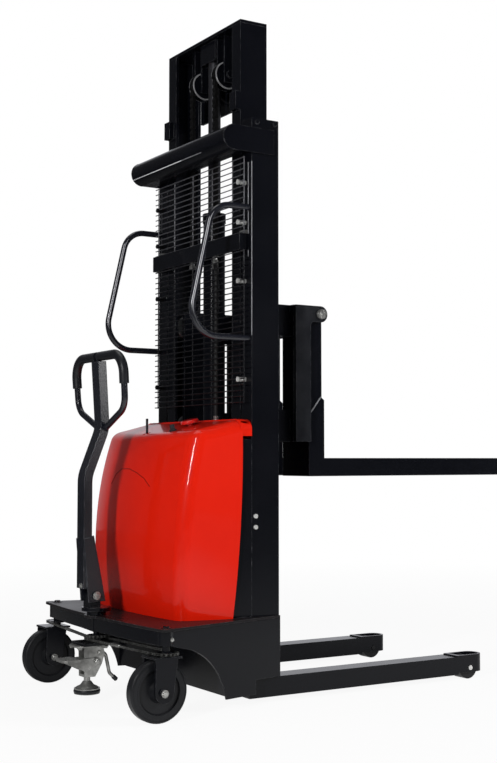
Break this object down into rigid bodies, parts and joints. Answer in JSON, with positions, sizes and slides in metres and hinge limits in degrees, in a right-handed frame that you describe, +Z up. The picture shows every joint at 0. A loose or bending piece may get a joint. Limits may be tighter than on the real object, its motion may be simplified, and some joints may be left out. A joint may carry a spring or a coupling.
{
  "type": "semi-electric stacker",
  "caption": "Walk-behind semi-electric stacker with a telescopic chain mast, adjustable forks, straddle legs, a steering tiller and a red power-pack cover.",
  "frame": {"origin": "on the floor, under the middle of the machine's length and width", "axes": "+X forward towards the fork tips, +Y to the left, +Z up along the mast"},
  "size_m": [1.852, 0.89, 2.167],
  "materials": {
    "black_paint": "gloss black powder coat",
    "red_cover": "gloss red moulding",
    "zinc": "zinc plated",
    "chrome": "polished",
    "chain_steel": "oiled steel",
    "roller_steel": "turned steel",
    "grip_rubber": "satin rubber",
    "hose_rubber": "hydraulic hose",
    "wheel": "black tread on moulded wheel",
    "load_wheel": "polyurethane",
    "nylon": "nylon",
    "battery": "moulded case",
    "stop_red": "gloss red"
  },
  "bodies": {
    "chassis": {"deck_plate": "black_paint", "deck_skirt": "black_paint", "side_plate_left": "black_paint", "side_plate_right": "black_paint", "base_beam": "black_paint", "leg_left": "black_paint", "leg_right": "black_paint", "outer_mast_left": "black_paint", "outer_mast_right": "black_paint", "mast_hood": "black_paint", "anchor_crossbar": "black_paint", "guard_mesh": "black_paint", "grab_handles": "black_paint", "bay_panels": "black_paint", "pump_motor": "black_paint", "oil_tank": "black_paint", "lift_cylinder": "black_paint", "floor_lock_bracket": "black_paint", "rear_cover": "red_cover", "battery": "battery", "hydraulic_hose": "hose_rubber", "floor_lock_base": "zinc", "zinc_fasteners": "zinc", "steering_chains": "chain_steel", "lift_chain_rear_runs": "chain_steel", "mast_guide_pads": "nylon"},
    "inner_mast": {"inner_mast_left": "black_paint", "inner_mast_right": "black_paint", "inner_mast_head": "black_paint", "inner_mast_tie": "black_paint", "lift_rod": "chrome", "lift_chain_wraps": "chain_steel"},
    "chain_pulleys": {"chain_pulleys": "black_paint"},
    "inner_mast_rollers": {"inner_mast_rollers": "roller_steel"},
    "carriage": {"carriage_side_left": "black_paint", "carriage_side_right": "black_paint", "carriage_crossbars": "black_paint", "carriage_arms": "black_paint", "fork_bar": "zinc", "lift_chain_front_runs": "chain_steel"},
    "carriage_rollers_upper": {"carriage_rollers_upper": "roller_steel"},
    "carriage_rollers_lower": {"carriage_rollers_lower": "roller_steel"},
    "fork_left": {"fork_left": "black_paint"},
    "fork_right": {"fork_right": "black_paint"},
    "tiller_turret": {"tiller_turret": "black_paint"},
    "tiller": {"tiller_post": "black_paint", "tiller_loop": "black_paint", "tiller_grips": "grip_rubber"},
    "caster_yoke_left": {"caster_yoke_left": "black_paint"},
    "caster_yoke_right": {"caster_yoke_right": "black_paint"},
    "caster_wheel_left": {"caster_wheel_left": "wheel"},
    "caster_wheel_right": {"caster_wheel_right": "wheel"},
    "load_wheel_left": {"load_wheel_left": "load_wheel"},
    "load_wheel_right": {"load_wheel_right": "load_wheel"},
    "floor_lock_pedal": {"floor_lock_pedal": "zinc"},
    "floor_lock_foot": {"floor_lock_foot": "zinc"},
    "floor_lock_lever": {"floor_lock_lever": "zinc"},
    "lift_lever": {"lift_lever": "chrome"},
    "key_switch": {"key_switch": "chrome"},
    "emergency_stop": {"emergency_stop": "stop_red"}
  },
  "joints": [
    {"name": "mast_lift", "type": "slide", "parent": "chassis", "child": "inner_mast", "axis": [0, 0, 1], "range_m": [-0.34, 0.865], "deforming": ["lift_chain_rear_runs"]},
    {"name": "carriage_lift", "type": "slide", "parent": "inner_mast", "child": "carriage", "axis": [0, 0, 1], "range_m": [-0.34, 0.865], "deforming": ["lift_chain_front_runs"]},
    {"name": "chain_pulley_turn", "type": "hinge", "parent": "inner_mast", "child": "chain_pulleys", "pos_m": [-0.38, 0, 2.028], "axis": [0, 1, 0], "range_deg": [-1290, 510]},
    {"name": "inner_mast_roller_turn", "type": "hinge", "parent": "inner_mast", "child": "inner_mast_rollers", "pos_m": [-0.373, 0, 0.48], "axis": [0, 1, 0], "continuous": true},
    {"name": "carriage_roller_turn_upper", "type": "hinge", "parent": "carriage", "child": "carriage_rollers_upper", "pos_m": [-0.373, 0, 1.21], "axis": [0, 1, 0], "continuous": true},
    {"name": "carriage_roller_turn_lower", "type": "hinge", "parent": "carriage", "child": "carriage_rollers_lower", "pos_m": [-0.373, 0, 0.865], "axis": [0, 1, 0], "continuous": true},
    {"name": "tiller_steer", "type": "hinge", "parent": "chassis", "child": "tiller_turret", "pos_m": [-0.803, 0, 0.268], "axis": [0, 0, 1], "range_deg": [-80, 80]},
    {"name": "tiller_tilt", "type": "hinge", "parent": "tiller_turret", "child": "tiller", "pos_m": [-0.818, 0, 0.33], "axis": [0, -1, 0], "range_deg": [0, 70]},
    {"name": "floor_lock_press", "type": "hinge", "parent": "chassis", "child": "floor_lock_pedal", "pos_m": [-0.811, 0, 0.128], "axis": [0, -1, 0], "range_deg": [0, 35], "stiffness_Nm_per_rad": 6, "springref_deg": -14.32},
    {"name": "floor_lock_drop", "type": "slide", "parent": "chassis", "child": "floor_lock_foot", "axis": [0, 0, -1], "range_m": [0, 0.027]},
    {"name": "floor_lock_release", "type": "hinge", "parent": "chassis", "child": "floor_lock_lever", "pos_m": [-0.801, 0, 0.153], "axis": [0, -1, 0], "range_deg": [0, 21]},
    {"name": "lift_lever_rock", "type": "hinge", "parent": "chassis", "child": "lift_lever", "pos_m": [-0.625, 0.006, 0.822], "axis": [0, 1, 0], "range_deg": [-10, 10], "stiffness_Nm_per_rad": 1.5},
    {"name": "key_turn", "type": "hinge", "parent": "chassis", "child": "key_switch", "pos_m": [-0.608, -0.14, 0.84135], "axis": [-0.2352, 0, 0.9719], "range_deg": [0, 90]},
    {"name": "emergency_stop_press", "type": "slide", "parent": "chassis", "child": "emergency_stop", "axis": [0.2352, 0, -0.9719], "range_m": [0, 0.006], "stiffness_N_per_m": 600, "springref_m": -0.003},
    {"name": "fork_spread_left", "type": "slide", "parent": "carriage", "child": "fork_left", "axis": [0, -1, 0], "range_m": [0, 0.04]},
    {"name": "caster_steer_left", "type": "hinge", "parent": "chassis", "child": "caster_yoke_left", "pos_m": [-0.765, 0.394, 0.225], "axis": [0, 0, 1], "range_deg": [-80, 80]},
    {"name": "caster_roll_left", "type": "hinge", "parent": "caster_yoke_left", "child": "caster_wheel_left", "pos_m": [-0.795, 0.394, 0.09], "axis": [0, 1, 0], "continuous": true},
    {"name": "load_wheel_roll_left", "type": "hinge", "parent": "chassis", "child": "load_wheel_left", "pos_m": [0.461, 0.2735, 0.039], "axis": [0, 1, 0], "continuous": true},
    {"name": "fork_spread_right", "type": "slide", "parent": "carriage", "child": "fork_right", "axis": [0, 1, 0], "range_m": [0, 0.04]},
    {"name": "caster_steer_right", "type": "hinge", "parent": "chassis", "child": "caster_yoke_right", "pos_m": [-0.765, -0.394, 0.225], "axis": [0, 0, 1], "range_deg": [-80, 80]},
    {"name": "caster_roll_right", "type": "hinge", "parent": "caster_yoke_right", "child": "caster_wheel_right", "pos_m": [-0.795, -0.394, 0.09], "axis": [0, 1, 0], "continuous": true},
    {"name": "load_wheel_roll_right", "type": "hinge", "parent": "chassis", "child": "load_wheel_right", "pos_m": [0.461, -0.2735, 0.039], "axis": [0, 1, 0], "continuous": true}
  ],
  "couplings": [
    {"joint": "carriage_lift", "follows": "mast_lift", "ratio": 1},
    {"joint": "chain_pulley_turn", "follows": "mast_lift", "rad_per_m": -25.641},
    {"joint": "caster_steer_left", "follows": "tiller_steer", "ratio": 1},
    {"joint": "caster_steer_right", "follows": "tiller_steer", "ratio": 1},
    {"joint": "floor_lock_drop", "follows": "floor_lock_press", "m_per_rad": 0.0441},
    {"joint": "floor_lock_release", "follows": "floor_lock_press", "ratio": 0.6}
  ]
}
